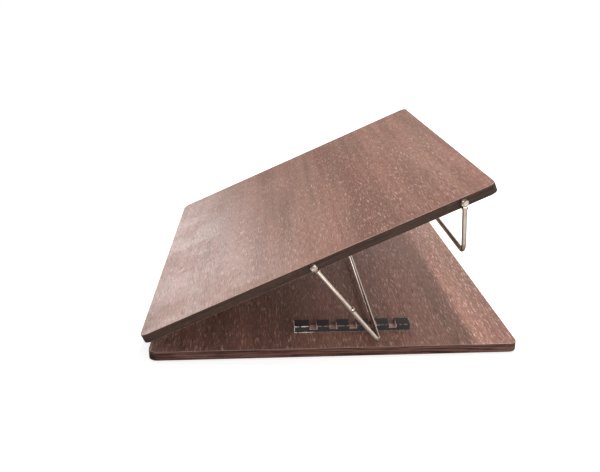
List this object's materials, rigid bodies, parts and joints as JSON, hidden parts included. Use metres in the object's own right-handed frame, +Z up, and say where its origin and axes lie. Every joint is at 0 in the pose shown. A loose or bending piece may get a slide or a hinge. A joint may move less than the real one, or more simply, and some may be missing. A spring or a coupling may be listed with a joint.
{
  "type": "laptop stand",
  "caption": "Tilting laptop stand of hinged wood-grain boards, propped by a chrome wire bail in notched racks, with a short rear bail.",
  "frame": {"origin": "middle of the footprint, on the desk", "axes": "+X from the hinged front edge to the back, +Y across the width from the near side to the far side, +Z up"},
  "size_m": [0.4562, 0.5456, 0.2154],
  "materials": {
    "walnut_laminate": "satin laminate with a fine dark grain across the stand",
    "edge_band": "satin dark brown strip",
    "board_core": "raw fibreboard",
    "rack_black": "black stain, raw wood in the notches",
    "wire_chrome": "polished",
    "pivot_chrome": "polished",
    "hinge_steel": "zinc plated",
    "screw_steel": "zinc plated",
    "pad_rubber": "matt"
  },
  "bodies": {
    "base": {"base_core": "board_core", "base_face_laminate": "walnut_laminate", "base_back_laminate": "walnut_laminate", "base_edge_band": "edge_band", "near_rack": "rack_black", "near_rack_screws": "screw_steel", "near_hinge_base_leaf": "hinge_steel", "near_hinge_base_screws": "screw_steel", "near_hinge_pin": "hinge_steel", "front_near_pad": "pad_rubber", "rear_near_pad": "pad_rubber", "far_rack": "rack_black", "far_rack_screws": "screw_steel", "far_hinge_base_leaf": "hinge_steel", "far_hinge_base_screws": "screw_steel", "far_hinge_pin": "hinge_steel", "front_far_pad": "pad_rubber", "rear_far_pad": "pad_rubber"},
    "top": {"top_core": "board_core", "top_face_laminate": "walnut_laminate", "top_back_laminate": "walnut_laminate", "top_edge_band": "edge_band", "near_hinge_top_leaf": "hinge_steel", "near_hinge_top_screws": "screw_steel", "near_prop_pivot_screw": "pivot_chrome", "near_prop_pivot_washer": "pivot_chrome", "near_rear_pivot_screw": "pivot_chrome", "near_rear_pivot_washer": "pivot_chrome", "far_hinge_top_leaf": "hinge_steel", "far_hinge_top_screws": "screw_steel", "far_prop_pivot_screw": "pivot_chrome", "far_prop_pivot_washer": "pivot_chrome", "far_rear_pivot_screw": "pivot_chrome", "far_rear_pivot_washer": "pivot_chrome"},
    "prop": {"prop_bail": "wire_chrome"},
    "rear_bail": {"rear_bail": "wire_chrome"}
  },
  "joints": [
    {"name": "top_tilt", "type": "hinge", "parent": "base", "child": "top", "pos_m": [-0.22365, 0, 0.0179], "axis": [0, -1, 0], "range_deg": [0, 66]},
    {"name": "prop_swing", "type": "hinge", "parent": "top", "child": "prop", "pos_m": [-0.02235, 0, 0.1185], "axis": [0, 1, 0], "range_deg": [0, 100.4]},
    {"name": "rear_bail_swing", "type": "hinge", "parent": "top", "child": "rear_bail", "pos_m": [0.14653, 0, 0.19353], "axis": [0, 1, 0], "range_deg": [-280, 59]}
  ],
  "couplings": [
    {"joint": "prop_swing", "follows": "top_tilt", "ratio": 1.52}
  ]
}
